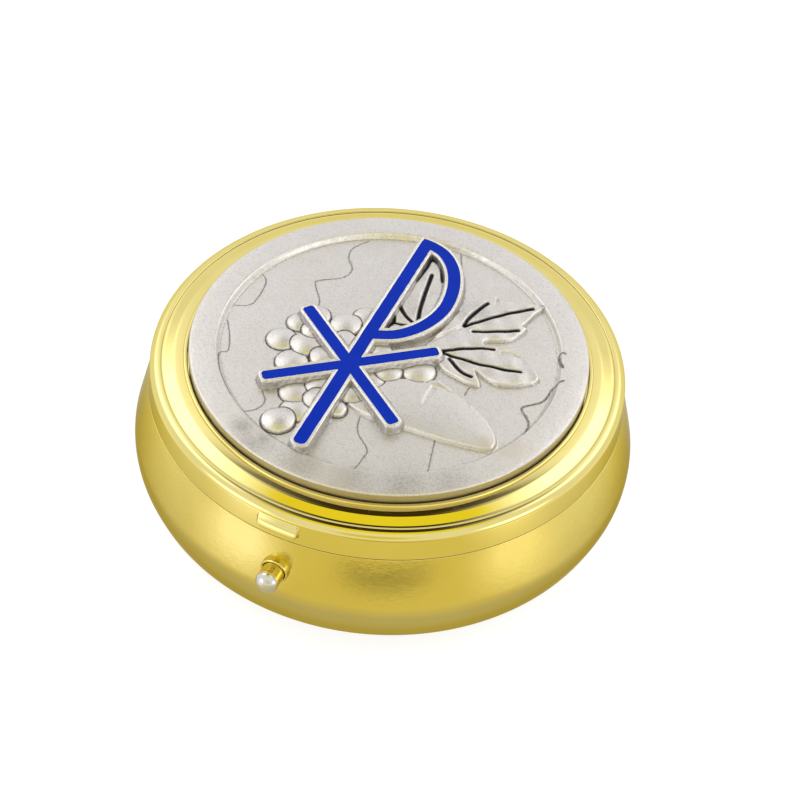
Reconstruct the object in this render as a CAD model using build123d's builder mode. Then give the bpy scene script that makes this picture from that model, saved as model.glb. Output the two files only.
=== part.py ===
from build123d import *
import os
from math import cos, degrees, radians, sin

# A round hinged pyx in millimetres. It stands on z = 0 with its button at -Y and its hinge at +Y.

# Bowl
mouth_radius = 25.15
seam_height = 12.64
belly_spread = 1.95
belly_height = 5.25
heel_inset = 1.75
belly_round = 6.1
heel_round = 3.8
bowl_wall = 0.6
land_depth = 1.2

# Lid
lid_wall = 0.55
lid_sheet = 0.45
skirt_draft = 0.42
seam_gap = 0.08
seat_rise = 2.36
rim_band = 4.32
lip_width = 0.5
lip_rise = 0.95
lip_edge = 0.15
land_width = 0.5
land_rise = 0.78
step_slope = 24.0
crest_round = 0.85
step_run = 0.75
foot_round = 1.1
lid_rim_rise = 0.72
lid_rim_edge = 0.15
lid_rim_lean = 0.05
shoulder_round = 0.5
shoulder_turn = 80.0

# Catch bump on the lid's skirt and the latch nose behind it
catch_width = 4.0
catch_height = 1.4
catch_proud = 0.45
catch_round = 0.45
catch_edge = 0.25
catch_rise = 1.61
catch_skin = 0.25
nose_width = 2.8
nose_height = 0.5
nose_reach = 0.35
nose_play = 0.12

# Collar
collar_clearance = 0.15
collar_wall = 0.5
collar_stand = 1.46
collar_depth = 5.6
collar_lead = 0.15
solder_gap = 0.02

# Button
button_drop = 3.54
ferrule_radius = 1.45
ferrule_proud = 0.55
ferrule_inside = 0.2
ferrule_edge = 0.12
sleeve_radius = 1.15
sleeve_play = 0.06
sleeve_proud = 1.6
dome_radius = 1.12
shank_radius = 0.6
peen_radius = 0.9
peen_length = 0.35

# Latch spring and its rivets
leaf_gauge = 0.3
leaf_height = 3.0
leaf_length = 13.8
leaf_overhang = 1.9
rivet_edge = 1.3
rivet_pitch = 2.1
rivet_radius = 0.45
rivet_head_radius = 0.8
rivet_head_height = 0.3

# Hinge
barrel_radius = 0.8
hinge_standoff = 0.15
hinge_length = 9.0
lid_knuckle = 3.3
knuckle_gap = 0.12
hinge_leaf_wall = 0.4
base_leaf_height = 3.0
lid_leaf_gap = 0.15
lid_leaf_height = 0.6
pin_radius = 0.4
pin_play = 0.04
pin_proud = 0.2

# Medal
medal_clearance = 0.12
medal_height = 2.22
medal_edge = 0.2
rim_width = 2.73
rim_slope = 0.5
field_depth = 0.55

# Relief on the medal, with heights above its field
relief_root = 0.3
figure_rise = 1.0
figure_border = 0.45
enamel_stroke = 1.25
enamel_depth = 0.35
enamel_gap = 0.02
enamel_sink = 0.04
stem_x = -2.45
stem_foot = -16.65
stem_head = 16.35
cross_y = -4.85
arm_span = 17.6
arm_slant = 38.0
bowl_foot = 0.1
bowl_reach = (3.1, 8.8)
bowl_shoulder = (0.45, 15.2)

leaf_rise = 0.45
leaf_lobes = (
    ((2.4, 1.5), (12.4, 13.0), 2.3),
    ((4.6, 4.4), (12.0, 9.0), 1.2),
    ((2.6, 1.4), (15.7, 2.7), 2.3),
    ((3.4, 2.2), (10.3, -1.1), 1.3),
    ((1.3, 3.9), (-1.5, 15.5), 1.7),
)
vein_width = 0.4
vein_depth = 0.25
leaf_veins = (
    ((6.8, 10.8), (5.7, 6.4)),
    ((11.4, 12.2), (3.5, 2.8)),
    ((11.2, 8.2), (7.0, 6.0)),
    ((9.8, 4.4), (5.2, 1.7)),
    ((5.5, 1.4), (13.5, 2.5)),
    ((6.3, 1.0), (9.3, -0.5)),
    ((-0.4, 12.3), (1.1, 4.6)),
)

loaf_centre = (7.2, -6.7)
loaf_length = 15.2
loaf_width = 6.8
loaf_rise = 0.6
loaf_round = 0.5
score_tip = (6.3, -6.4)
score_mouth = (6.6, -3.4)
score_width = 0.9
score_depth = 0.25

grape_flatness = 1.35
grapes = (
    (-5.5, 1.0, 1.6),
    (-4.1, 3.2, 1.4),
    (-9.0, 0.9, 1.6),
    (-10.1, -0.8, 1.3),
    (-4.6, -1.4, 1.3),
    (-8.1, -1.4, 1.3),
    (-10.6, -3.9, 1.6),
    (-7.9, -3.5, 1.7),
    (-5.5, -4.6, 1.4),
    (-8.2, -6.5, 1.7),
    (-4.1, -8.5, 1.4),
    (-6.0, -10.3, 1.6),
    (-3.5, -10.4, 1.3),
    (-4.8, -12.6, 1.6),
    (-5.7, -14.7, 1.7),
    (-0.5, -1.1, 1.1),
    (-0.5, 2.7, 1.1),
    (1.4, -3.5, 1.4),
    (4.1, -1.9, 1.75),
    (0.3, -5.2, 1.3),
    (-0.6, -8.1, 1.3),
)

# Places worked out from the sizes above
button_height = seam_height - button_drop
front_azimuth = -90.0
back_azimuth = 90.0
belly_corner = mouth_radius + belly_spread
heel_corner = belly_corner - heel_inset
skirt_inner = mouth_radius - lid_wall
skirt_foot = seam_height + seam_gap
shoulder_radius = mouth_radius - skirt_draft
collar_outer = skirt_inner - collar_clearance
collar_inner = collar_outer - collar_wall
collar_top = seam_height + collar_stand
collar_foot = seam_height - collar_depth
land_radius = collar_outer + solder_gap
seat_height = seam_height + seat_rise
land_height = seat_height + land_rise
lid_rim_height = seat_height + lid_rim_rise
shoulder_start = shoulder_radius - shoulder_round * sin(radians(shoulder_turn))
shoulder_height = lid_rim_height - shoulder_round * (1 - cos(radians(shoulder_turn)))
catch_z = seam_height + catch_rise
medal_radius = mouth_radius - rim_band
rim_top = seat_height + medal_height
field_height = rim_top - field_depth
figure_top = field_height + figure_rise
cell_floor = figure_top - enamel_depth
leaf_outer = collar_inner - solder_gap
leaf_inner = leaf_outer - leaf_gauge
leaf_root = front_azimuth - degrees(leaf_length / leaf_outer)
leaf_tip = front_azimuth + degrees(leaf_overhang / leaf_outer)
rivet_azimuths = [
    leaf_root + degrees((rivet_edge + step * rivet_pitch) / leaf_outer)
    for step in range(2)
]
axis_y = mouth_radius + hinge_standoff + barrel_radius
axis_z = seam_height
lid_leaf_foot = axis_z + barrel_radius + lid_leaf_gap
leaf_turn = degrees(hinge_length / mouth_radius)


def wall_radius(height):
    # The bowl's outside on its straight upper wall
    return mouth_radius + belly_spread * (seam_height - height) / (seam_height - belly_height)


def radial_plane(azimuth):
    # A section plane through the box's axis, with its x outwards and its y up
    turn = radians(azimuth)
    return Plane(origin=(0, 0, 0), x_dir=(cos(turn), sin(turn), 0), z_dir=(sin(turn), -cos(turn), 0))


def outward_plane(azimuth, distance):
    # A plane that faces outwards, with its y up from z = 0
    turn = radians(azimuth)
    outward = (cos(turn), sin(turn), 0)
    origin = (distance * cos(turn), distance * sin(turn), 0)
    return Plane(origin=origin, x_dir=(-sin(turn), cos(turn), 0), z_dir=outward)


# Base bowl: a spun shell with a turned land in its mouth and a hole for the ferrule
land_foot = seam_height - land_depth
with BuildPart() as base_bowl:
    with BuildSketch(Plane.XZ):
        with BuildLine():
            FilletPolyline(
                (0, 0),
                (heel_corner, 0),
                (belly_corner, belly_height),
                (mouth_radius, seam_height),
                radius=[heel_round, belly_round],
            )
            Polyline((mouth_radius, seam_height), (0, seam_height), (0, 0))
        make_face()
    revolve(axis=Axis.Z)
    offset(amount=-bowl_wall, openings=base_bowl.faces().sort_by(Axis.Z)[-1])
    with BuildSketch(Plane.XZ):
        with BuildLine():
            Polyline(
                (land_radius, seam_height),
                (mouth_radius - bowl_wall / 2, seam_height),
                (wall_radius(land_foot) - bowl_wall / 2, land_foot),
                (land_radius, land_foot),
                close=True,
            )
        make_face()
    revolve(axis=Axis.Z)
    with BuildSketch(outward_plane(front_azimuth, collar_outer)):
        with Locations((0, button_height)):
            Circle(ferrule_radius + solder_gap)
    extrude(amount=mouth_radius, mode=Mode.SUBTRACT)

# Collar: the ring that the lid closes over, notched for the latch nose
nose_foot = catch_z - nose_height / 2
notch_width = nose_width + 4 * nose_play
notch_foot = nose_foot - 2 * nose_play
with BuildPart() as collar_ring:
    with BuildSketch(Plane.XZ):
        with Locations((collar_inner, collar_foot)):
            Rectangle(collar_wall, collar_top - collar_foot, align=(Align.MIN, Align.MIN))
    revolve(axis=Axis.Z)
    top_edges = collar_ring.edges().filter_by(GeomType.CIRCLE).group_by(Axis.Z)[-1]
    chamfer(top_edges.sort_by(SortBy.RADIUS)[-1], length=collar_lead)
    with BuildSketch(outward_plane(front_azimuth, collar_inner - collar_wall)):
        with Locations((0, notch_foot)):
            Rectangle(notch_width, collar_top, align=(Align.CENTER, Align.MIN))
        with Locations((0, button_height)):
            Circle(sleeve_radius + 4 * sleeve_play)
    extrude(amount=3 * collar_wall, mode=Mode.SUBTRACT)
    for azimuth in rivet_azimuths:
        with BuildSketch(outward_plane(azimuth, collar_inner - collar_wall)):
            with Locations((0, button_height)):
                Circle(rivet_radius + solder_gap)
        extrude(amount=3 * collar_wall, mode=Mode.SUBTRACT)

# Ferrule: the bush in the bowl's wall
ferrule_start = wall_radius(button_height) - bowl_wall - ferrule_inside
ferrule_end = wall_radius(button_height) + ferrule_proud
with BuildPart() as button_ferrule:
    with BuildSketch(outward_plane(front_azimuth, ferrule_start)):
        with Locations((0, button_height)):
            Circle(ferrule_radius)
            Circle(sleeve_radius + sleeve_play, mode=Mode.SUBTRACT)
    extrude(amount=ferrule_end - ferrule_start)
    outer_edges = button_ferrule.edges().filter_by(GeomType.CIRCLE).group_by(Axis.Y)[0]
    chamfer(outer_edges.sort_by(SortBy.RADIUS)[-1], length=ferrule_edge)

# Button: a gold sleeve that slides in the ferrule
sleeve_end = wall_radius(button_height) + sleeve_proud
with BuildPart() as button_sleeve:
    with BuildSketch(outward_plane(front_azimuth, collar_inner)):
        with Locations((0, button_height)):
            Circle(sleeve_radius)
            Circle(shank_radius + solder_gap, mode=Mode.SUBTRACT)
    extrude(amount=sleeve_end - collar_inner)

# Button rivet: a domed head, a shank through the sleeve and the spring leaf, and a peened end
peen_start = leaf_inner - solder_gap - peen_length
head_start = sleeve_end + solder_gap
with BuildPart() as button_rivet:
    with BuildSketch(Plane.YZ):
        with BuildLine():
            Polyline(
                (-head_start - dome_radius, button_height),
                (-peen_start, button_height),
                (-peen_start, button_height + peen_radius),
                (-peen_start - peen_length, button_height + peen_radius),
                (-peen_start - peen_length, button_height + shank_radius),
                (-head_start, button_height + shank_radius),
                (-head_start, button_height + dome_radius),
            )
            RadiusArc(
                (-head_start, button_height + dome_radius),
                (-head_start - dome_radius, button_height),
                -dome_radius,
            )
        make_face()
    revolve(axis=Axis((0, 0, button_height), (0, 1, 0)))

# Latch spring: a leaf along the collar, with a tab and the latch nose on its free end
leaf_foot = button_height - leaf_height / 2
leaf_head = leaf_foot + leaf_height
nose_tip = skirt_inner + nose_reach
nose_turn = degrees(nose_width / collar_outer)
with BuildPart() as latch_spring:
    with BuildSketch(radial_plane(leaf_root)):
        with Locations((leaf_inner, leaf_foot)):
            Rectangle(leaf_gauge, leaf_height, align=(Align.MIN, Align.MIN))
    revolve(axis=Axis.Z, revolution_arc=leaf_tip - leaf_root)
    with BuildSketch(radial_plane(front_azimuth - nose_turn / 2)):
        with BuildLine():
            Polyline(
                (leaf_inner, leaf_head - leaf_gauge),
                (leaf_outer, leaf_head - leaf_gauge),
                (leaf_outer, nose_foot),
                (nose_tip, nose_foot),
                (nose_tip, nose_foot + nose_height / 2),
                (leaf_outer + leaf_gauge, nose_foot + nose_height),
                (leaf_inner, nose_foot + nose_height),
                close=True,
            )
        make_face()
    revolve(axis=Axis.Z, revolution_arc=nose_turn)
    for azimuth, hole in [(front_azimuth, shank_radius)] + [(turn, rivet_radius) for turn in rivet_azimuths]:
        with BuildSketch(outward_plane(azimuth, leaf_inner - leaf_gauge)):
            with Locations((0, button_height)):
                Circle(hole + solder_gap)
        extrude(amount=3 * leaf_gauge, mode=Mode.SUBTRACT)

# Latch rivets: two headed pins through the leaf's root and the collar
inner_head = leaf_inner - solder_gap - rivet_head_height
outer_head = collar_outer + solder_gap
with BuildPart() as latch_rivets:
    for azimuth in rivet_azimuths:
        with BuildSketch(outward_plane(azimuth, inner_head)):
            with Locations((0, button_height)):
                Circle(rivet_radius)
        extrude(amount=outer_head - inner_head)
        for head in (inner_head, outer_head):
            with BuildSketch(outward_plane(azimuth, head)):
                with Locations((0, button_height)):
                    Circle(rivet_head_radius)
            extrude(amount=rivet_head_height)

# Base hinge leaf: a plate curved to the bowl's back, with the two outer knuckles on webs
base_leaf_top = seam_height - seam_gap
base_leaf_foot = base_leaf_top - base_leaf_height
base_web_foot = axis_z - 2 * barrel_radius
middle_gap = lid_knuckle + 2 * knuckle_gap
with BuildPart() as base_hinge_leaf:
    with BuildSketch(Plane.YZ):
        with BuildLine():
            Polyline(
                (collar_inner, base_web_foot),
                (wall_radius(base_web_foot) + hinge_leaf_wall, base_web_foot),
                (axis_y, axis_z - barrel_radius),
                (axis_y, base_leaf_top),
                (collar_inner, base_leaf_top),
                close=True,
            )
        make_face()
        with Locations((axis_y, axis_z)):
            Circle(barrel_radius)
    extrude(amount=hinge_length / 2, both=True)
    with BuildSketch(Plane.YZ):
        with Locations((collar_inner, base_leaf_top)):
            Rectangle(axis_y - collar_inner, base_leaf_height, align=(Align.MIN, Align.MAX))
        with Locations((axis_y, axis_z)):
            Circle(barrel_radius + knuckle_gap)
    extrude(amount=middle_gap / 2, both=True, mode=Mode.SUBTRACT)
    with BuildSketch(radial_plane(back_azimuth - leaf_turn / 2)):
        with BuildLine():
            Polyline(
                (collar_inner, base_leaf_foot),
                (wall_radius(base_leaf_foot) + hinge_leaf_wall, base_leaf_foot),
                (wall_radius(base_web_foot) + hinge_leaf_wall, base_web_foot),
                (wall_radius(base_web_foot + barrel_radius / 2), base_web_foot + barrel_radius / 2),
                (collar_inner, base_web_foot + barrel_radius / 2),
                close=True,
            )
        make_face()
    revolve(axis=Axis.Z, revolution_arc=leaf_turn)
    with BuildSketch(Plane.YZ):
        with Locations((axis_y, axis_z)):
            Circle(pin_radius + solder_gap)
    extrude(amount=hinge_length, both=True, mode=Mode.SUBTRACT)
    with BuildSketch(Plane.XZ):
        with BuildLine():
            Polyline(
                (0, collar_foot),
                (wall_radius(collar_foot) + solder_gap, collar_foot),
                (mouth_radius + solder_gap, seam_height),
                (0, seam_height),
                close=True,
            )
        make_face()
    revolve(axis=Axis.Z, mode=Mode.SUBTRACT)

# Lid hinge leaf: a plate curved to the lid's skirt, with the middle knuckle on a web
with BuildPart() as lid_hinge_leaf:
    with BuildSketch(radial_plane(back_azimuth - leaf_turn / 2)):
        with Locations((collar_inner, lid_leaf_foot)):
            Rectangle(
                mouth_radius + hinge_leaf_wall - collar_inner,
                lid_leaf_height,
                align=(Align.MIN, Align.MIN),
            )
    revolve(axis=Axis.Z, revolution_arc=leaf_turn)
    with BuildSketch(Plane.YZ):
        with BuildLine():
            Polyline(
                (collar_inner, skirt_foot + knuckle_gap),
                (axis_y, skirt_foot + knuckle_gap),
                (axis_y, axis_z + barrel_radius),
                (mouth_radius + hinge_leaf_wall, lid_leaf_foot + lid_leaf_height / 2),
                (collar_inner, lid_leaf_foot + lid_leaf_height / 2),
                close=True,
            )
        make_face()
        with Locations((axis_y, axis_z)):
            Circle(barrel_radius)
    extrude(amount=lid_knuckle / 2, both=True)
    with BuildSketch(Plane.YZ):
        with Locations((axis_y, axis_z)):
            Circle(pin_radius + pin_play)
    extrude(amount=hinge_length, both=True, mode=Mode.SUBTRACT)
    with BuildSketch(Plane.XZ):
        with BuildLine():
            Polyline(
                (0, seam_height),
                (mouth_radius + solder_gap, seam_height),
                (mouth_radius + solder_gap, skirt_foot),
                (shoulder_radius + solder_gap, shoulder_height),
                (0, shoulder_height),
                close=True,
            )
        make_face()
    revolve(axis=Axis.Z, mode=Mode.SUBTRACT)

# Hinge pin
with BuildPart() as hinge_pin:
    with BuildSketch(Plane.YZ):
        with Locations((axis_y, axis_z)):
            Circle(pin_radius)
    extrude(amount=hinge_length / 2 + pin_proud, both=True)
    chamfer(hinge_pin.edges().filter_by(GeomType.CIRCLE), length=pin_proud)

# Lid shell: a pressed sheet with a seat for the medal, a step, a rim, a skirt and the catch bump
recess_radius = medal_radius + medal_clearance
lip_outer = recess_radius + lip_width
lip_top = seat_height + lip_rise
plate_under = seat_height - lid_sheet
catch_front = mouth_radius + catch_proud
with BuildPart() as lid_shell:
    with BuildSketch(Plane.XZ):
        with BuildLine():
            Polyline(
                (0, plate_under),
                (0, seat_height),
                (recess_radius, seat_height),
                (recess_radius, lip_top - lip_edge),
                (recess_radius + lip_edge, lip_top),
                (lip_outer - lip_edge, lip_top),
                (lip_outer, lip_top - lip_edge),
                (lip_outer, land_height),
            )
            # The step down from the land to the rim's foot
            land = Line((lip_outer, land_height), (lip_outer + land_width, land_height))
            crest = JernArc(land @ 1, land % 1, radius=crest_round, arc_size=-step_slope)
            slope = Line(crest @ 1, crest @ 1 + step_run * (crest % 1))
            foot = JernArc(slope @ 1, slope % 1, radius=foot_round, arc_size=step_slope)
            # The rim, its shoulder and the skirt
            rise = Line(foot @ 1, ((foot @ 1).X + lid_rim_lean, lid_rim_height - lid_rim_edge))
            rim_start = ((rise @ 1).X + lid_rim_edge, lid_rim_height)
            RadiusArc(rise @ 1, rim_start, lid_rim_edge)
            rim = Line(rim_start, (shoulder_start, lid_rim_height))
            shoulder = JernArc(rim @ 1, rim % 1, radius=shoulder_round, arc_size=-shoulder_turn)
            Polyline(
                shoulder @ 1,
                (mouth_radius, skirt_foot),
                (skirt_inner, skirt_foot),
                (skirt_inner, collar_top + nose_play),
                (shoulder_start, seat_height),
                (lip_outer, seat_height),
                (lip_outer, plate_under),
                (0, plate_under),
            )
        make_face()
    revolve(axis=Axis.Z)
    with BuildSketch(outward_plane(front_azimuth, skirt_inner)):
        with Locations((0, catch_z)):
            RectangleRounded(catch_width, catch_height, catch_round)
    extrude(amount=catch_front - skirt_inner)
    fillet(lid_shell.faces().sort_by(Axis.Y)[0].edges(), radius=catch_edge)
    with BuildSketch(outward_plane(front_azimuth, collar_outer)):
        with Locations((0, catch_z)):
            Rectangle(nose_width + 4 * nose_play, nose_height + 2 * nose_play)
    extrude(amount=catch_front - catch_skin - collar_outer, mode=Mode.SUBTRACT)


def draw_chi_rho(stroke):
    # The figure's strokes: a stem, two crossed arms and the bowl of the Rho
    with Locations((stem_x, (stem_foot + stem_head) / 2)):
        SlotCenterToCenter(stem_head - stem_foot, stroke, rotation=90)
    with Locations((stem_x, cross_y)):
        SlotCenterToCenter(arm_span, stroke, rotation=arm_slant)
        SlotCenterToCenter(arm_span, stroke, rotation=-arm_slant)
    with BuildLine() as bowl:
        side = ThreePointArc((stem_x, bowl_foot), bowl_reach, bowl_shoulder)
        TangentArc(side @ 1, (stem_x - stroke / 2, stem_head), tangent=side % 1)
    trace(bowl.edges(), line_width=stroke)


# Medal: a cast disc with a raised rim, and the relief on its field
field_edge = medal_radius - rim_width
with BuildPart() as medal:
    with BuildSketch(Plane.XZ):
        with BuildLine():
            Polyline(
                (0, field_height),
                (0, seat_height),
                (medal_radius, seat_height),
                (medal_radius, rim_top - medal_edge),
            )
            RadiusArc((medal_radius, rim_top - medal_edge), (medal_radius - medal_edge, rim_top), -medal_edge)
            Polyline(
                (medal_radius - medal_edge, rim_top),
                (field_edge, rim_top),
                (field_edge - rim_slope, field_height),
                (0, field_height),
            )
        make_face()
    revolve(axis=Axis.Z)
    # The loaf with its score
    with BuildSketch(Plane.XY.offset(field_height - relief_root)):
        with Locations(loaf_centre):
            Ellipse(loaf_length / 2, loaf_width / 2)
    extrude(amount=relief_root + loaf_rise)
    fillet(medal.edges().filter_by(GeomType.ELLIPSE).group_by(Axis.Z)[-1], radius=loaf_round)
    with BuildSketch(Plane.XY.offset(field_height + loaf_rise - score_depth)):
        with BuildLine():
            Polyline(
                score_tip,
                (score_mouth[0] + score_width / 2, score_mouth[1]),
                (score_mouth[0] - score_width / 2, score_mouth[1]),
                close=True,
            )
        make_face()
    extrude(amount=figure_rise, mode=Mode.SUBTRACT)
    # The vine leaf with its veins
    with BuildSketch(Plane.XY.offset(field_height - relief_root)):
        for base, tip, bulge in leaf_lobes:
            with BuildLine():
                SagittaArc(base, tip, bulge)
                SagittaArc(tip, base, bulge)
            make_face()
    extrude(amount=relief_root + leaf_rise)
    with BuildSketch(Plane.XY.offset(field_height + leaf_rise - vein_depth)):
        for start, end in leaf_veins:
            with BuildLine():
                Line(start, end)
            trace(line_width=vein_width)
    extrude(amount=figure_rise, mode=Mode.SUBTRACT)
    # The grapes: shallow domes that stand on the field
    for grape_x, grape_y, grape_radius in grapes:
        ball = grape_radius * grape_flatness
        sunk = (ball**2 - grape_radius**2) ** 0.5
        with BuildSketch(Plane((grape_x, grape_y, field_height), x_dir=(1, 0, 0), z_dir=(0, -1, 0))):
            with BuildLine():
                RadiusArc((0, ball - sunk), (grape_radius, 0), ball)
                Polyline((grape_radius, 0), (grape_radius, -relief_root), (0, -relief_root), (0, ball - sunk))
            make_face()
        revolve(axis=Axis((grape_x, grape_y, 0), (0, 0, 1)))
    # The Chi-Rho's wall and the cell for its enamel
    with BuildSketch(Plane.XY.offset(field_height - relief_root)):
        draw_chi_rho(enamel_stroke + 2 * figure_border)
    extrude(amount=relief_root + figure_rise)
    with BuildSketch(Plane.XY.offset(cell_floor)):
        draw_chi_rho(enamel_stroke)
    extrude(amount=figure_rise, mode=Mode.SUBTRACT)

# Enamel: the blue filling of the Chi-Rho's cell
with BuildPart() as enamel_inlay:
    with BuildSketch(Plane.XY.offset(cell_floor)):
        draw_chi_rho(enamel_stroke - 2 * enamel_gap)
    extrude(amount=enamel_depth - enamel_sink)

# Write one file for each piece
pieces = {
    "base_bowl": base_bowl,
    "collar_ring": collar_ring,
    "button_ferrule": button_ferrule,
    "button_sleeve": button_sleeve,
    "button_rivet": button_rivet,
    "latch_spring": latch_spring,
    "latch_rivets": latch_rivets,
    "base_hinge_leaf": base_hinge_leaf,
    "lid_hinge_leaf": lid_hinge_leaf,
    "hinge_pin": hinge_pin,
    "lid_shell": lid_shell,
    "medal": medal,
    "enamel_inlay": enamel_inlay,
}
os.makedirs("parts", exist_ok=True)
for name, piece in pieces.items():
    piece.part.label = name
    export_step(piece.part, f"parts/{name}.step")
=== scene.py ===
import math

import bmesh
import bpy
import numpy as np
from mathutils import Matrix, Vector, geometry


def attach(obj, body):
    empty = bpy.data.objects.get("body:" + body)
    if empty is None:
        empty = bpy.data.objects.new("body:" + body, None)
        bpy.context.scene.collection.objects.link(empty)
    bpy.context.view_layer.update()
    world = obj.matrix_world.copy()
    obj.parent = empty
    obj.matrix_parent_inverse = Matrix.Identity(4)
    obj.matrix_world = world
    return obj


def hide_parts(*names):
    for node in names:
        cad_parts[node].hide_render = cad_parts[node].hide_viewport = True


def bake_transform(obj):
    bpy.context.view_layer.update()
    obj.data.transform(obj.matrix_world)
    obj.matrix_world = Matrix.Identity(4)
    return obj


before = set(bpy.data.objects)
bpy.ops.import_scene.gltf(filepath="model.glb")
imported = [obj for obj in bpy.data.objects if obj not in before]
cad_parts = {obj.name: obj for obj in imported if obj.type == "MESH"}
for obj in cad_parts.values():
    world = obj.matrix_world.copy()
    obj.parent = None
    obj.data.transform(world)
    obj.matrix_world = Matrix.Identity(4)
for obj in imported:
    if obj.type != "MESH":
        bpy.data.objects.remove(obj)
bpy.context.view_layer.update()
mm = 0.001  # every size below is in millimetres, and meshes are scaled by this
print("frame loaded:", len(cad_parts), "solids")


# Node helpers

def addNode(tree, kind, inputs=None, **settings):
    # sockets among the inputs are linked, and plain values set
    node = tree.nodes.new(kind)
    for name, value in settings.items():
        setattr(node, name, value)
    for key, value in (inputs or {}).items():
        if isinstance(value, bpy.types.NodeSocket):
            tree.links.new(value, node.inputs[key])
        else:
            node.inputs[key].default_value = value
    return node


def mathNode(tree, operation, first, second=0.0, clamp=False):
    node = addNode(tree, "ShaderNodeMath", {0: first, 1: second}, operation=operation, use_clamp=clamp)
    return node.outputs[0]


def mixColor(tree, amount, first, second):
    return addNode(tree, "ShaderNodeMix", {0: amount, 6: first, 7: second}, data_type="RGBA").outputs[2]


def mapRange(tree, value, low, high, toLow, toHigh):
    return addNode(tree, "ShaderNodeMapRange", {
        "Value": value, "From Min": low, "From Max": high, "To Min": toLow, "To Max": toHigh}).outputs[0]


def objectPlace(tree):
    return addNode(tree, "ShaderNodeTexCoord").outputs["Object"]


def noiseNode(tree, place, scale, **inputs):
    return addNode(tree, "ShaderNodeTexNoise", {"Vector": place, "Scale": scale, **inputs}).outputs


def makeGroup(name, inputs, outputs):
    group = bpy.data.node_groups.new(name, "ShaderNodeTree")
    kinds = {"float": "NodeSocketFloat", "color": "NodeSocketColor"}
    for socketName, kind, value in inputs:
        socket = group.interface.new_socket(socketName, in_out="INPUT", socket_type=kinds[kind])
        socket.default_value = value
    for socketName, kind in outputs:
        group.interface.new_socket(socketName, in_out="OUTPUT", socket_type=kinds[kind])
    start = group.nodes.new("NodeGroupInput")
    end = group.nodes.new("NodeGroupOutput")
    return group, start.outputs, end.inputs


def useGroup(tree, group, inputs):
    return addNode(tree, "ShaderNodeGroup", inputs, node_tree=group).outputs


# Soft cloudy change of colour and gloss over a plated surface
platingMottle, given, made = makeGroup(
    "platingMottle",
    [("Scale", "float", 150.0), ("Light", "color", (1, 1, 1, 1)), ("Deep", "color", (1, 1, 1, 1)),
     ("Smooth", "float", 0.1), ("Rough", "float", 0.2)],
    [("Color", "color"), ("Roughness", "float")])
place = objectPlace(platingMottle)
cloud = noiseNode(platingMottle, place, given["Scale"], Detail=5.0, Roughness=0.6)[0]
cloudShare = mapRange(platingMottle, cloud, 0.3, 0.7, 0.0, 1.0)
platingMottle.links.new(
    mixColor(platingMottle, cloudShare, given["Light"], given["Deep"]), made["Color"])
roughShare = addNode(platingMottle, "ShaderNodeMix", {
    0: cloudShare, 2: given["Smooth"], 3: given["Rough"]}, data_type="FLOAT").outputs[0]
platingMottle.links.new(roughShare, made["Roughness"])

# Fine grain of a cast or satin surface
castGrain, given, made = makeGroup(
    "castGrain", [("Scale", "float", 5000.0)], [("Height", "float"), ("Speck", "float")])
place = objectPlace(castGrain)
grain = noiseNode(castGrain, place, given["Scale"], Detail=3.0, Roughness=0.65)[0]
broadScale = mathNode(castGrain, "MULTIPLY", given["Scale"], 0.23)
broad = noiseNode(castGrain, place, broadScale, Detail=2.0)[0]
castGrain.links.new(mathNode(castGrain, "ADD", grain, broad), made["Height"])
castGrain.links.new(mapRange(castGrain, grain, 0.35, 0.7, 0.0, 1.0), made["Speck"])

# Rings left by spinning and turning, round the box's own axis
turnedLines, given, made = makeGroup("turnedLines", [("Scale", "float", 4000.0)], [("Height", "float")])
place = objectPlace(turnedLines)
apart = addNode(turnedLines, "ShaderNodeSeparateXYZ", {0: place}).outputs
reach = mathNode(turnedLines, "SQRT", mathNode(
    turnedLines, "ADD", mathNode(turnedLines, "MULTIPLY", apart[0], apart[0]),
    mathNode(turnedLines, "MULTIPLY", apart[1], apart[1])))
section = addNode(turnedLines, "ShaderNodeCombineXYZ", {0: reach, 1: apart[2]}).outputs[0]
rings = addNode(turnedLines, "ShaderNodeTexNoise", {
    "Vector": section, "Scale": given["Scale"], "Detail": 2.0}, noise_dimensions="2D").outputs[0]
turnedLines.links.new(rings, made["Height"])

# Short fine hairlines from handling
hairScratches, given, made = makeGroup("hairScratches", [("Scale", "float", 220.0)], [("Mask", "float")])
place = objectPlace(hairScratches)
bent = noiseNode(hairScratches, place, 260.0)[1]
moved = addNode(hairScratches, "ShaderNodeMix", {0: 0.004, 4: place, 5: bent}, data_type="VECTOR").outputs[1]
cells = addNode(hairScratches, "ShaderNodeTexVoronoi", {
    "Vector": moved, "Scale": given["Scale"]}, feature="DISTANCE_TO_EDGE").outputs[0]
thin = mapRange(hairScratches, cells, 0.0, 0.006, 1.0, 0.0)
patch = noiseNode(hairScratches, place, 300.0)[0]
patchShare = mapRange(hairScratches, patch, 0.52, 0.62, 0.0, 1.0)
hairScratches.links.new(mathNode(hairScratches, "MULTIPLY", thin, patchShare), made["Mask"])
print("node groups made")


# Materials

def startMaterial(name):
    material = bpy.data.materials.new(name)
    material.use_nodes = True
    tree = material.node_tree
    return material, tree, tree.nodes["Principled BSDF"]


def addBump(tree, shader, height, distance):
    bump = addNode(tree, "ShaderNodeBump", {"Height": height, "Distance": distance * mm, "Strength": 1.0})
    tree.links.new(bump.outputs[0], shader.inputs["Normal"])


def addMottle(tree, finish):
    return useGroup(tree, platingMottle, {
        "Scale": finish["mottle"], "Light": (*finish["light"], 1), "Deep": (*finish["deep"], 1),
        "Smooth": finish["smooth"], "Rough": finish["rough"]})


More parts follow.
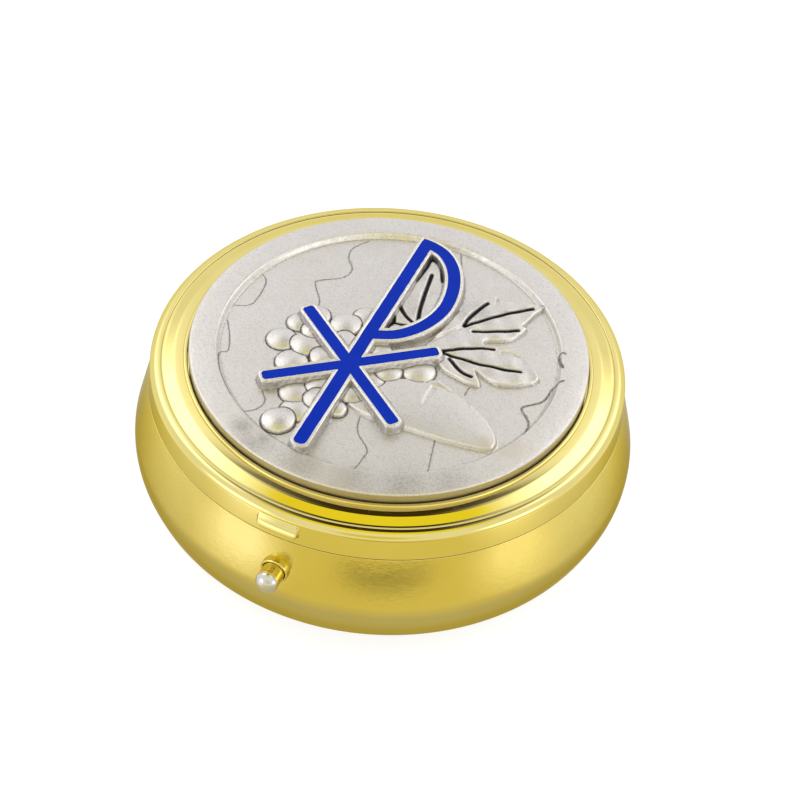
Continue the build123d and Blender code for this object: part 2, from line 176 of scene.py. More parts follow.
def addSurface(tree, shader, finish):
    # cloudy colour and gloss, with hairlines that are rougher than what lies round them
    mottle = addMottle(tree, finish)
    tree.links.new(mottle["Color"], shader.inputs["Base Color"])
    scratch = useGroup(tree, hairScratches, {"Scale": finish["scratches"]})["Mask"]
    dulled = mathNode(tree, "MULTIPLY", scratch, finish["scratchRough"])
    tree.links.new(mathNode(tree, "ADD", mottle["Roughness"], dulled), shader.inputs["Roughness"])


# Colours are linear, scales are per metre, and relief and rings are heights in millimetres
bumpUnit = 0.01
gilt = dict(scratches=240.0, scratchRough=0.12, tint=(0.75, 0.66, 0.30, 1))  # keeps grazing reflections gold
silver = dict(scratches=420.0, scratchRough=0.15, tint=(1, 1, 1, 1))
metalFinishes = {
    "giltPolished": dict(gilt, light=(0.80, 0.69, 0.27), deep=(0.76, 0.645, 0.235), smooth=0.03, rough=0.06,
                         mottle=140, grain=2600, relief=0.0006),
    "giltSatin": dict(gilt, light=(0.79, 0.67, 0.25), deep=(0.74, 0.62, 0.215), smooth=0.05, rough=0.08,
                      mottle=110, grain=6500, relief=0.009),
    "giltInside": dict(gilt, light=(0.75, 0.62, 0.225), deep=(0.71, 0.58, 0.20), smooth=0.24, rough=0.28,
                       mottle=180, grain=4200, relief=0.002, rings=0.004, ringScale=5200.0),
    "brightSilver": dict(silver, light=(0.72, 0.70, 0.68), deep=(0.62, 0.60, 0.58), smooth=0.2, rough=0.28,
                         mottle=400, grain=5000, relief=0.0015),
    "springSteel": dict(silver, light=(0.62, 0.62, 0.62), deep=(0.50, 0.50, 0.51), smooth=0.24, rough=0.36,
                        mottle=300, grain=6500, relief=0.002),
}


def metalMaterial(name, finish):
    material, tree, shader = startMaterial(name)
    addSurface(tree, shader, finish)
    shader.inputs["Metallic"].default_value = 1.0
    shader.inputs["Specular Tint"].default_value = finish["tint"]
    grain = useGroup(tree, castGrain, {"Scale": finish["grain"]})["Height"]
    height = mathNode(tree, "MULTIPLY", grain, finish["relief"] / bumpUnit)
    if "rings" in finish:
        rings = useGroup(tree, turnedLines, {"Scale": finish["ringScale"]})["Height"]
        rings = mathNode(tree, "MULTIPLY", rings, finish["rings"] / bumpUnit)
        height = mathNode(tree, "ADD", height, rings)
    addBump(tree, shader, height, bumpUnit)
    return material


finishes = {name: metalMaterial(name, finish) for name, finish in metalFinishes.items()}

antique = dict(
    light=(0.735, 0.705, 0.69), deep=(0.69, 0.66, 0.645), bright=(0.90, 0.87, 0.84), brass=(0.84, 0.79, 0.64),
    patinaAndShade=(0.05, 0.046, 0.043), paint=(0.012, 0.011, 0.012), stainAndReflection=(0.60, 0.52, 0.36),
    speck=(0.55, 0.52, 0.50), speckShare=0.7, speckBelow=0.45, patinaGrain=(1.25, 0.7), smooth=0.33,
    rough=0.42, hollowRough=0.2, wornSmooth=0.12, mottle=320, wornMottle=420.0, grain=5200, relief=0.021)


def antiqueSilver():
    material, tree, shader = startMaterial("antiqueSilver")
    mottle = addMottle(tree, antique)
    grain = useGroup(tree, castGrain, {"Scale": antique["grain"]})

    def painted(name):
        node = addNode(tree, "ShaderNodeAttribute", attribute_name=name, attribute_type="GEOMETRY")
        return node.outputs["Fac"]

    hollowAndShade, wornAndSheen, ink, stainAndReflection = (painted(name) for name in ("hollowAndShade", "wornAndSheen", "ink", "stainAndReflection"))
    cloud = useGroup(tree, platingMottle, {
        "Scale": antique["wornMottle"], "Light": (*antique["bright"], 1), "Deep": (*antique["brass"], 1)})
    # wear, and painted highlight on the medal's edge and rim slope
    color = mixColor(tree, wornAndSheen, mottle["Color"], cloud["Color"])
    # stains, and painted reflection: yellow at the front of the rim and gold on the medal's side
    stainedAndReflected = mathNode(tree, "MULTIPLY", stainAndReflection, grain["Speck"])
    color = mixColor(tree, stainedAndReflected, color, (*antique["stainAndReflection"], 1))
    speckle = mapRange(tree, grain["Speck"], 0.0, antique["speckBelow"], antique["speckShare"], 0.0)
    color = mixColor(tree, speckle, color, (*antique["speck"], 1))
    uneven = mapRange(tree, grain["Speck"], 0.0, 1.0, *antique["patinaGrain"])
    # the dark colour is patina in the hollows and also painted shade from the shade patches and on the
    # medal's side
    dark = mathNode(tree, "MULTIPLY", hollowAndShade, uneven, clamp=True)
    color = mixColor(tree, dark, color, (*antique["patinaAndShade"], 1))
    color = mixColor(tree, ink, color, (*antique["paint"], 1))
    tree.links.new(color, shader.inputs["Base Color"])
    rougher = mathNode(tree, "MULTIPLY", hollowAndShade, antique["hollowRough"])
    smoother = mathNode(tree, "MULTIPLY", wornAndSheen, antique["wornSmooth"])
    rough = mathNode(tree, "ADD", mottle["Roughness"], rougher)
    tree.links.new(mathNode(tree, "SUBTRACT", rough, smoother), shader.inputs["Roughness"])
    shader.inputs["Metallic"].default_value = 1.0
    addBump(tree, shader, grain["Height"], antique["relief"])
    return material


finishes["antiqueSilver"] = antiqueSilver()

enamel = dict(light=(0.005, 0.036, 0.50), deep=(0.004, 0.031, 0.45), smooth=0.14, rough=0.22, mottle=260,
              scratches=300.0, scratchRough=0.2, gloss=0.06)


def enamelMaterial():
    material, tree, shader = startMaterial("blueEnamel")
    addSurface(tree, shader, enamel)
    shader.inputs["Specular IOR Level"].default_value = enamel["gloss"]
    return material


finishes["blueEnamel"] = enamelMaterial()
print("materials made:", len(finishes))


# Outline and turning helpers

def arcPoints(start, end, radius, centre, step):
    first = math.atan2(start[1] - centre[1], start[0] - centre[0])
    turn = math.atan2(end[1] - centre[1], end[0] - centre[0]) - first
    turn = (turn + math.pi) % (2 * math.pi) - math.pi
    count = max(2, math.ceil(abs(turn) / step))
    return [(centre[0] + radius * math.cos(first + turn * i / count),
             centre[1] + radius * math.sin(first + turn * i / count)) for i in range(count + 1)]


def roundedLine(corners, closed=False, step=math.radians(7)):
    # corners are (across, up, rounding); a rounding of 0 keeps the corner
    points = []
    count = len(corners)
    for i, (x, y, rounding) in enumerate(corners):
        if rounding == 0 or (not closed and i in (0, count - 1)):
            points.append((x, y))
            continue
        here = Vector((x, y))
        back = (Vector(corners[i - 1][:2]) - here).normalized()
        ahead = (Vector(corners[(i + 1) % count][:2]) - here).normalized()
        half = back.angle(ahead) / 2
        centre = here + (back + ahead).normalized() * (rounding / math.sin(half))
        reach = rounding / math.tan(half)
        points += arcPoints(here + back * reach, here + ahead * reach, rounding, centre, step)
    return points


def splitRuns(points, low, high, step, nearest=0.0):
    # adds points on the runs between two heights and beyond a reach, where the mesh has to be fine
    fine = [points[0]]
    for (ax, ay), (bx, by) in zip(points, points[1:]):
        if min(ay, by) < high and max(ay, by) > low and min(ax, bx) > nearest:
            count = max(1, math.ceil(math.hypot(bx - ax, by - ay) / step))
            fine += [(ax + (bx - ax) * i / count, ay + (by - ay) * i / count) for i in range(1, count)]
        fine.append((bx, by))
    return fine


def ringAngles(coarse, fine=0.0, span=0.0, centre=-90.0):
    # angles all round in degrees, closer together within span of the centre
    if not fine:
        return [i * coarse for i in range(round(360 / coarse))]
    near = np.linspace(-span, span, round(2 * span / fine) + 1)
    far = np.linspace(span, 360 - span, round((360 - 2 * span) / coarse) + 1)[1:-1]
    return [centre + a for a in (*near, *far)]


def turnedMesh(profile, angles, closed=False):
    # a section of (reach, height) points turned about z; points on the axis become single vertices
    turns = np.radians(angles)
    count = len(turns)
    verts, rows = [], []
    for reach, height in profile:
        if reach < 1e-6:
            rows.append([len(verts)] * count)
            verts.append((0.0, 0.0, height))
        else:
            rows.append(list(range(len(verts), len(verts) + count)))
            verts += [(reach * math.cos(t), reach * math.sin(t), height) for t in turns]
    faces = []
    pairs = list(zip(rows, rows[1:])) + ([(rows[-1], rows[0])] if closed else [])
    for low, high in pairs:
        for i in range(count):
            j = (i + 1) % count
            corners = [low[i], low[j], high[j], high[i]]
            faces.append(tuple(dict.fromkeys(corners)))
    return verts, [f for f in faces if len(f) > 2]


def placeObject(name, data):
    thing = bpy.data.objects.new(name, data)
    bpy.context.collection.objects.link(thing)
    return thing


def makeMesh(name, verts, faces):
    mesh = bpy.data.meshes.new(name)
    mesh.from_pydata([(x * mm, y * mm, z * mm) for x, y, z in verts], [], faces)
    work = bmesh.new()
    work.from_mesh(mesh)
    bmesh.ops.recalc_face_normals(work, faces=work.faces)
    work.to_mesh(mesh)
    work.free()
    return mesh


def buildPiece(name, verts, faces, finish, body, node, sharp=35.0):
    mesh = makeMesh(name, verts, faces)
    mesh.shade_smooth()
    mesh.set_sharp_from_angle(angle=math.radians(sharp))
    piece = placeObject(name, mesh)
    mesh.materials.append(finishes[finish])
    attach(piece, body)
    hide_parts(node)
    print("built", name, "with", len(mesh.polygons), "faces")
    return piece


def ledge(distance, wall):
    # 1 inside an outline and 0 outside, with a sloping wall between
    t = np.clip(0.5 - distance / wall, 0, 1)
    return t * t * (3 - 2 * t)


def boxDistance(along, across, halfLength, halfWidth, rounding):
    # distance from the edge of a rounded box, below zero inside it
    along = np.abs(along) - halfLength + rounding
    across = np.abs(across) - halfWidth + rounding
    corner = np.hypot(np.maximum(along, 0), np.maximum(across, 0))
    return corner + np.minimum(np.maximum(along, across), 0) - rounding


def alongButton(verts, height):
    # turns a mesh made about z so that it points out of the front wall
    return [(x, -z, y + height) for x, y, z in verts]


smallTurn = 5.0  # degrees between the points round a small piece

# Bowl, with a land in its mouth for the collar and a hole for the button's bush
bowl = dict(heel=(25.35, 0.0, 3.8), belly=(27.10, 5.25, 6.1), mouth=(25.15, 12.64, 0.05),
            land=(24.47, 12.64, 0.05), landFoot=11.44, wallAtLand=24.85, innerBelly=(26.47, 5.27, 5.5),
            innerHeel=(24.92, 0.6, 3.2), floor=0.6, inside=(0.3, 12.5), bendStep=3.0, turns=(1.0, 0.35, 4.5),
            holeRadius=1.33, holeHeight=9.1, holeSpan=(24.6, 29.0), fineHalf=2.0, fineStep=0.16)
bowlLine = roundedLine([
    (0, 0, 0), bowl["heel"], bowl["belly"], bowl["mouth"], bowl["land"],
    (bowl["land"][0], bowl["landFoot"], 0), (bowl["wallAtLand"], bowl["landFoot"], 0), bowl["innerBelly"],
    bowl["innerHeel"], (0, bowl["floor"], 0)],
    step=math.radians(bowl["bendStep"]))
bowlLine = splitRuns(
    bowlLine, bowl["holeHeight"] - bowl["fineHalf"], bowl["holeHeight"] + bowl["fineHalf"], bowl["fineStep"])
verts, faces = turnedMesh(bowlLine, ringAngles(*bowl["turns"]))
baseBowl = buildPiece("baseBowl", verts, faces, "giltSatin", "base", "base_bowl")


def cutHole(piece, radius, height, near, far):
    # a round hole through the front wall
    verts, faces = turnedMesh([(0, near), (radius, near), (radius, far), (0, far)], ringAngles(smallTurn))
    cutter = placeObject("cutter", makeMesh("cutter", alongButton(verts, height), faces))
    hole = piece.modifiers.new("hole", "BOOLEAN")
    hole.operation = "DIFFERENCE"
    hole.solver = "EXACT"
    hole.object = cutter
    bpy.context.view_layer.update()
    cut = bpy.data.meshes.new_from_object(piece.evaluated_get(bpy.context.evaluated_depsgraph_get()))
    piece.modifiers.remove(hole)
    piece.data = cut
    bpy.data.objects.remove(cutter)


cutHole(baseBowl, bowl["holeRadius"], bowl["holeHeight"], *bowl["holeSpan"])
drawn = dict(inwards=0.3, level=0.7)  # how far a face has to look inwards, or up or down


def finishInside(piece, heights, up):
    # faces between two heights that look inwards, or straight up or down, are left as drawn
    piece.data.materials.append(finishes["giltInside"])
    for face in piece.data.polygons:
        x, y, z = face.center / mm
        inwards = x * face.normal.x + y * face.normal.y < -drawn["inwards"] * math.hypot(x, y)
        level = face.normal.z * up > drawn["level"]
        if heights[0] < z < heights[1] and (inwards or level):
            face.material_index = 1


finishInside(baseBowl, bowl["inside"], 1)

# Lid, with its lip round the medal, a step down to the rim, a shoulder and a skirt
lid = dict(seat=15.0, plateUnder=14.55, recess=20.95, lipOuter=21.40, lipTop=16.12, lipRound=0.16,
           lipFlare=0.02, land=15.90, landGap=0.06, stepStart=22.17, crestRound=1.35, stepSlope=16.0,
           stepRun=0.75, footRound=1.35, rimLean=0.04, rimTop=15.70, rimEdge=0.1, edgeStep=15, rimBow=6.5,
           bowRise=0.6, shoulderStart=24.1, shoulderRound=0.8, shoulderTurn=83.0,
           skirtFoot=(25.15, 12.69, 0.06), skirtInner=(24.60, 12.69, 0.06), collarRoom=14.22, underEdge=24.24,
           inside=(12.75, 14.99), turns=(0.9, 0.18, 6.6), fineTop=15.25, fineStep=0.08, fineReach=24.3)
catch = dict(height=14.25, along=-0.35, half=(2.15, 0.7), corner=0.4, front=25.58, wall=0.3, topShare=0.02,
             swell=0.85, room=3.5, skin=0.06)


def penLine(start, heading, moves):
    # follows straight runs (length,) and bends (radius, degrees), beginning along a heading
    x, y = start
    turn = math.radians(heading)
    points = [(x, y)]
    for move in moves:
        if len(move) == 1:
            x, y = x + move[0] * math.cos(turn), y + move[0] * math.sin(turn)
            points.append((x, y))
            continue
        radius, bend = move[0], math.radians(move[1])
        side = math.copysign(radius, bend)
        cx, cy = x - side * math.sin(turn), y + side * math.cos(turn)
        count = max(3, math.ceil(abs(move[1]) / 5))
        ways = [turn + bend * i / count for i in range(1, count + 1)]
        points += [(cx + side * math.sin(way), cy - side * math.cos(way)) for way in ways]
        x, y = points[-1]
        turn += bend
    return points


def lidSection():
    line = roundedLine([
        (0, lid["seat"], 0), (lid["recess"], lid["seat"], 0), (lid["recess"], lid["lipTop"], lid["lipRound"]),
        (lid["lipOuter"], lid["lipTop"], lid["lipRound"]),
        (lid["lipOuter"] + lid["lipFlare"], lid["land"], 0)])
    landStart = lid["lipOuter"] + lid["landGap"]
    line += penLine((landStart, lid["land"]), 0, [
        (lid["stepStart"] - landStart,), (lid["crestRound"], -lid["stepSlope"]), (lid["stepRun"],),
        (lid["footRound"], lid["stepSlope"])])
    edge = lid["rimEdge"]
    rimStart = line[-1][0] + lid["rimLean"]
    centre = (rimStart + edge, lid["rimTop"] - edge)
    line += arcPoints(
        (rimStart, centre[1]), (centre[0], lid["rimTop"]), edge, centre, math.radians(lid["edgeStep"]))
    bow = math.degrees(2 * math.asin((lid["shoulderStart"] - line[-1][0]) / 2 / lid["rimBow"]))
    bend = bow * (1 - lid["bowRise"]) - lid["shoulderTurn"]
    line += penLine(line[-1], bow * lid["bowRise"], [(lid["rimBow"], -bow), (lid["shoulderRound"], bend)])[1:]
    skirt = roundedLine([
        (*line[-1], 0), lid["skirtFoot"], lid["skirtInner"], (lid["skirtInner"][0], lid["collarRoom"], 0),
        (lid["underEdge"], lid["seat"], 0), (lid["lipOuter"], lid["seat"], 0),
        (lid["lipOuter"], lid["plateUnder"], 0), (0, lid["plateUnder"], 0)])
    return line + skirt[1:]


lidLine = splitRuns(lidSection(), lid["skirtFoot"][1], lid["fineTop"], lid["fineStep"], lid["fineReach"])
verts, faces = turnedMesh(lidLine, ringAngles(*lid["turns"]))


def pressCatch(verts):
    # the small bump that the latch nose catches in, pressed out of the skirt's front and fullest at its foot
    pressed = []
    for x, y, z in verts:
        reach = math.hypot(x, y)
        along = reach * (math.atan2(y, x) + math.pi / 2) - catch["along"]
        onSkirt = reach > lid["skirtInner"][0] + catch["skin"] and lid["skirtFoot"][1] < z < lid["rimTop"]
        if onSkirt and abs(along) < catch["room"]:
            gap = boxDistance(along, z - catch["height"], *catch["half"], catch["corner"])
            below = (catch["height"] + catch["half"][1] - z) / (2 * catch["half"][1])
            lift = min(max(below, 0.0), 1.0) ** catch["swell"]
            share = ledge(gap, catch["wall"]) * (catch["topShare"] + (1 - catch["topShare"]) * lift)
            grown = 1 + share * (catch["front"] / reach - 1)
            x, y = x * grown, y * grown
        pressed.append((x, y, z))
    return pressed


lidShell = buildPiece(
    "lidShell", pressCatch(verts), faces, "giltPolished", "lid", "lid_shell")
finishInside(lidShell, lid["inside"], -1)

# Button: a bush in the wall, a sleeve that slides in it and a domed rivet in the sleeve
button = dict(height=9.1, bushRadius=1.45, bushBore=1.21, bushStart=25.284, bushEnd=26.45, bushRound=0.12,
              boreRound=0.05, sleeveRadius=1.15, sleeveBore=0.62, sleeveStart=23.95, sleeveEnd=27.684,
              sleeveBack=0.08, sleeveFront=0.07, domeRadius=1.19, domeHeight=1.11, domeStart=27.704,
              domeEdge=0.04, domeBand=0.1, domeFoot=0.12, domeSteps=16, shankRadius=0.6, peenRadius=0.9,
              peenStart=23.26, peenEnd=23.61, peenRound=0.12)


def buttonPiece(name, line, finish, body, node, closed=True):
    verts, faces = turnedMesh(line, ringAngles(smallTurn), closed)
    buildPiece(name, alongButton(verts, button["height"]), faces, finish, body, node)


bushLine = roundedLine([
    (button["bushBore"], button["bushStart"], 0), (button["bushRadius"], button["bushStart"], 0),
    (button["bushRadius"], button["bushEnd"], button["bushRound"]),
    (button["bushBore"], button["bushEnd"], button["boreRound"])], closed=True)
buttonPiece("buttonBush", bushLine, "giltPolished", "base", "button_ferrule")
sleeveLine = roundedLine([
    (button["sleeveBore"], button["sleeveStart"], 0),
    (button["sleeveRadius"], button["sleeveStart"], button["sleeveBack"]),
    (button["sleeveRadius"], button["sleeveEnd"], button["sleeveFront"]),
    (button["sleeveBore"], button["sleeveEnd"], 0)], closed=True)
buttonPiece("buttonSleeve", sleeveLine, "giltPolished", "button", "button_sleeve")
domeFoot = button["domeStart"] + button["domeFoot"]
domeRise = button["domeHeight"] - button["domeFoot"]
domeRun = [(button["domeRadius"] * math.cos(a), domeFoot + domeRise * math.sin(a))
           for a in np.radians(np.linspace(0, 90, button["domeSteps"]))]
rivetLine = roundedLine([
    (0, button["peenStart"], 0), (button["peenRadius"], button["peenStart"], button["peenRound"]),
    (button["peenRadius"], button["peenEnd"], 0), (button["shankRadius"], button["peenEnd"], 0),
    (button["shankRadius"], button["domeStart"], 0),
    (button["domeRadius"], button["domeStart"], button["domeEdge"]),
    (button["domeRadius"], button["domeStart"] + button["domeBand"], 0)])
rivetLine += domeRun[:-1] + [(0, domeRun[-1][1])]
buttonPiece("buttonRivet", rivetLine, "brightSilver", "button", "button_rivet", closed=False)


# Medal: distances and heights on a fine grid, then triangles only as small as the relief needs

def softPath(points, closed=False, steps=6):
    # a smooth line through a few points
    count = len(points)
    path = []
    for i in range(count if closed else count - 1):
        if closed:
            a, b, c, d = (Vector(points[(i + k) % count]) for k in (-1, 0, 1, 2))
        else:
            a, b, c, d = (Vector(points[min(max(i + k, 0), count - 1)]) for k in (-1, 0, 1, 2))
        for s in range(steps):
            t = s / steps
            p = 2 * b + (c - a) * t + (2 * a - 5 * b + 4 * c - d) * t * t + (3 * b - a - 3 * c + d) * t**3
            path.append((p.x / 2, p.y / 2))
    return path if closed else path + [tuple(points[-1])]


def lineDistance(x, y, path, closed=False):
    best = np.full(x.shape, 1e9)
    ends = list(zip(path, path[1:])) + ([(path[-1], path[0])] if closed else [])
    for (ax, ay), (bx, by) in ends:
        dx, dy = bx - ax, by - ay
        t = np.clip(((x - ax) * dx + (y - ay) * dy) / max(dx * dx + dy * dy, 1e-12), 0, 1)
        best = np.minimum(best, (x - ax - t * dx) ** 2 + (y - ay - t * dy) ** 2)
    return np.sqrt(best)


def outlineDistance(x, y, path):
    # below zero inside the outline
    inside = np.zeros(x.shape, bool)
    for (ax, ay), (bx, by) in zip(path, path[1:] + path[:1]):
        if ay != by:
            crosses = ((ay > y) != (by > y)) & (x < (bx - ax) * (y - ay) / (by - ay) + ax)
            inside ^= crosses
    gap = lineDistance(x, y, path, closed=True)
    return np.where(inside, -gap, gap)


def barDistance(x, y, start, end, width, rounding):
    # a straight bar with rounded ends
    ax, ay = start
    length = math.hypot(end[0] - ax, end[1] - ay)
    ux, uy = (end[0] - ax) / length, (end[1] - ay) / length
    along = (x - ax) * ux + (y - ay) * uy - length / 2
    across = (y - ay) * ux - (x - ax) * uy
    return boxDistance(along, across, length / 2, width / 2, rounding)


def band(distance, centre, half, wall):
    # 1 along a line at some distance from an outline, and 0 away from it
    return ledge(np.abs(distance - centre) - half, wall)


def blurred(values, reach):
    taps = np.exp(-0.5 * (np.arange(-3 * reach, 3 * reach + 1) / reach) ** 2)
    taps /= taps.sum()
    for axis in (0, 1):
        wide = np.pad(values, [(3 * reach, 3 * reach) if k == axis else (0, 0) for k in (0, 1)], mode="edge")
        size = values.shape[axis]
        values = sum(w * np.take(wide, range(i, i + size), axis) for i, w in enumerate(taps))
    return values


# foot and side hold the place, half width and soft edge of a dark line beside an outline
figure = dict(rise=1.0, border=0.45, cell=0.35, wall=0.2, cellWall=0.09, sink=0.07, width=1.3, armWidth=1.2,
              dark=0.7, foot=(0.14, 0.05, 0.09), sideDark=0.3, side=(0.0, 0.1, 0.06), clear=0.1,
              stem=((-2.27, -17.27), (-2.70, 16.98)), stemRound=0.6, armRound=0.36,
              arms=(((-10.0, 0.98), (5.05, -10.58)), ((-9.59, -10.44), (4.98, 0.98))),
              bowl=((-2.12, 0.19), (0.06, 1.28), (1.81, 3.31), (2.85, 5.82), (3.09, 8.28), (2.61, 11.12),
                    (1.48, 13.68), (-0.23, 15.52), (-2.03, 16.23), (-3.33, 16.35)))
figureBowl = softPath(figure["bowl"])


def figureDistance(x, y):
    # distance from the edge of the blue strokes
    best = barDistance(x, y, *figure["stem"], figure["width"], figure["stemRound"])
    for start, end in figure["arms"]:
        best = np.minimum(best, barDistance(x, y, start, end, figure["armWidth"], figure["armRound"]))
    half = figure["width"] / 2
    ribbon = lineDistance(x, y, figureBowl) - half
    (ex, ey), (fx, fy) = figureBowl[-1], figureBowl[-2]
    squareEnd = (ex - x) * (fx - ex) + (ey - y) * (fy - ey)
    ribbon = np.maximum(ribbon, squareEnd / math.hypot(fx - ex, fy - ey))
    return np.minimum(best, ribbon)


medal = dict(radius=20.83, edge=0.2, turn=0.6, seat=15.0, top=17.22, rimStart=18.10, rimSlope=0.5,
             fieldDepth=0.55, rimFall=0.05, fallWidth=2.4, rimDark=0.4, rimLine=(0.04, 0.08), wobble=0.004,
             darkBelow=15.9, seatEdge=0.1, backWidth=3, cells=512, largest=8, tolerance=0.006)
leaf = dict(rise=0.47, wave=0.05, wall=0.2, clear=0.1, dark=0.8, foot=(0.12, 0.03, 0.08), outlines=(
    ((3.3, 1.3), (3.9, 4.6), (4.3, 7.3), (4.9, 8.9), (5.4, 10.3), (6.2, 11.6), (7.3, 12.3), (7.6, 11.5),
     (8.4, 12.1), (10.2, 12.6), (12.3, 13.0), (11.9, 11.4), (11.6, 10.0), (11.4, 9.2), (11.9, 9.0),
     (11.6, 7.8), (10.9, 6.7), (9.8, 6.0), (8.9, 5.6), (8.6, 5.0), (9.0, 4.7), (10.6, 5.0), (12.1, 5.2),
     (13.4, 4.7), (14.6, 3.6), (15.7, 2.3), (14.3, 0.9), (12.5, 0.0), (10.8, 0.1), (9.3, 0.6),
     (10.5, -1.0), (9.3, -1.3), (7.7, -1.0), (6.1, -0.6), (5.0, 0.2)),
    ((-1.7, 15.2), (-0.6, 15.0), (0.6, 13.9), (1.7, 11.6), (2.2, 8.5), (1.9, 6.0), (1.1, 3.9), (-0.6, 3.2),
     (-1.7, 3.4))))
veins = dict(width=0.5, depth=0.16, wall=0.12, bare=0.02, painted=(
    ((6.75, 10.8), (6.2, 9.3), (5.8, 7.6), (5.75, 6.5)), ((11.4, 12.2), (9.2, 10.2), (7.4, 8.2), (6.0, 6.5)),
    ((11.2, 8.3), (9.4, 7.2), (7.0, 6.0)), ((9.9, 4.4), (8.3, 3.8), (6.6, 2.8), (5.2, 1.75)),
    ((5.4, 1.5), (8.6, 1.6), (11.5, 2.0), (13.6, 2.5)), ((6.3, 1.0), (7.4, 0.2), (8.5, -0.35), (9.3, -0.45)),
    ((-0.4, 12.3), (0.1, 9.2), (0.6, 6.7), (1.1, 4.9)), ((-1.5, 6.0), (-0.4, 5.0), (0.8, 4.35)),
    ((-1.6, 15.0), (-1.45, 13.2), (-1.6, 10.6)), ((-1.4, 14.7), (-0.1, 14.2), (1.1, 11.9)),
    ((-1.5, 4.3), (-1.15, 3.5), (-1.45, 2.3)), ((-1.0, 3.4), (0.3, 3.6))),
    plain=(((6.0, 6.5), (4.9, 4.9), (3.5, 2.6)), ((10.9, 4.35), (12.0, 4.7), (13.1, 4.65)),
           ((7.55, 12.2), (7.75, 11.3))))
loaf = dict(rise=0.42, crown=0.12, crownReach=3.2, wall=0.24, outline=(
    (-0.9, -9.2), (2.0, -10.15), (6.0, -10.05), (10.4, -9.85), (14.4, -9.2), (15.0, -8.3), (14.5, -7.0),
    (13.0, -5.5), (11.0, -4.3), (9.0, -3.45), (6.5, -3.2), (4.0, -3.5), (2.0, -4.6), (0.5, -6.2)),
    score=((6.25, -3.5), (6.9, -3.5), (6.75, -5.0), (6.4, -6.4), (6.15, -5.0)), scoreDepth=0.16,
    scoreWall=0.1, petal=((5.6, -3.15), (6.4, -2.25), (7.5, -2.6), (8.2, -3.15)), petalRise=0.3,
    petalCrown=0.15, petalReach=0.5, petalWall=0.15, creaseDepth=0.12, creaseHalf=0.12, creaseWall=0.15,
    crease=((7.8, -3.4), (9.2, -3.25), (10.2, -3.9), (10.9, -4.6)))
grapes = dict(wallRise=0.2, crown=0.17, wall=0.13, step=0.1, dark=1.0, foot=(0.09, 0.07, 0.09), layers=(
    ((-10.6, -3.9, 1.6), (-8.2, -6.5, 1.7), (-9.0, 0.9, 1.6), (-10.1, -0.8, 1.3), (-4.1, 3.2, 1.4),
     (-4.8, -12.6, 1.6), (-6.0, -10.3, 1.6), (4.1, -1.9, 1.75), (0.3, -5.2, 1.35)),
    ((-7.9, -3.5, 1.7), (-5.5, 1.0, 1.65), (-5.7, -14.7, 1.7), (-4.1, -8.5, 1.4), (1.4, -3.5, 1.4),
     (-0.6, -8.1, 1.35)),
    ((-8.1, -1.4, 1.3), (-5.5, -4.6, 1.4), (-4.6, -1.4, 1.35), (-3.5, -10.4, 1.35), (-0.5, -1.1, 1.15),
     (-0.5, 2.5, 1.15), (-1.1, -10.7, 1.0))))
cracks = dict(width=0.14, deepWidth=0.26, depth=0.06, wall=0.12, dark=0.75, darkWall=0.08, thin=(
    ((-9.0, 14.8), (-10.1, 12.8), (-9.8, 11.1), (-8.7, 9.6), (-9.0, 7.9), (-11.1, 6.3), (-11.2, 5.5),
     (-9.6, 3.2), (-9.5, 1.7)),
    ((-17.0, 4.4), (-16.0, 3.2), (-15.8, -0.3), (-17.3, -1.4)),
    ((-17.0, -3.8), (-15.7, -5.8), (-14.8, -7.9), (-15.4, -8.7), (-14.0, -11.2), (-11.4, -13.8)),
    ((-9.0, -11.6), (-8.1, -12.8), (-8.4, -14.2), (-9.5, -15.1)),
    ((1.3, -10.4), (2.0, -12.5), (3.8, -14.2), (3.9, -15.7), (3.7, -17.4)),
    ((9.3, -10.1), (9.8, -12.2), (10.4, -14.7)),
    ((1.0, 17.4), (1.9, 15.4)), ((9.6, -1.6), (9.6, -2.9))),
    deep=(((18.1, 3.2), (17.4, 2.2), (17.1, -0.1), (15.6, -1.7), (15.7, -2.4), (16.6, -3.3), (17.0, -4.2),
           (17.0, -5.7)),
          ((16.9, 7.1), (16.4, 7.0), (16.5, 6.4), (16.9, 5.7), (17.4, 5.0))))
# how the silver darkens in hollows and wears on edges
wear = dict(blur=2, hollowMost=0.5, hollowRate=5.0, hollowFrom=0.012, rate=6.0, start=0.1, most=0.8,
            patchWall=1.2)
# the slope up to the rim is rubbed bright in short strokes, with a painted highlight strongest at the back
# left
rubAndSheen = dict(towards=(-0.64, 0.77), least=0.25, gain=0.75, offset=0.45, strokes=41, swing=4, swings=13,
           gaps=0.3)
# the medal's side and its rounded edge: painted shade on both, most low in the gap and on the edge at the
# back, a painted reflection of the gold on the side, and wear with a painted highlight on the edge
sideTone = dict(deep=0.4, side=0.15, edge=0.1, backShade=0.7, backFrom=0.6, backTurn=0.35, edgeWornAndSheen=0.45,
                sideReflection=1.0, edgeReflection=0.2)
# places, sizes and strengths
# stains on the field at the right; the three at the front, by the rim, give the painted shade there a yellow
# painted reflection
stainsAndReflections = ((16.6, -8.3, 1.4, 0.8), (14.2, -8.2, 0.9, 0.9), (-0.6, -18.6, 1.6, 0.6), (-1.2, -16.6, 1.4, 0.4),
          (3.0, -18.9, 1.8, 0.5))
# painted shade: a grey band along the front of the rim, and greyer patches on the leaf's upper lobe and
# inside the P's loop
shadePatches = ((-6.5, -19.3, 2.0, 0.3), (-1.0, -19.4, 2.6, 0.3), (4.5, -18.9, 2.6, 0.25), (9.0, -17.4, 2.6, 0.3),
           (13.0, -15.2, 2.2, 0.25), (-8.2, -17.3, 1.1, 0.4), (-5.6, -18.2, 1.2, 0.35), (6.3, 9.2, 1.5, 0.22),
           (0.2, 6.2, 1.2, 0.2))


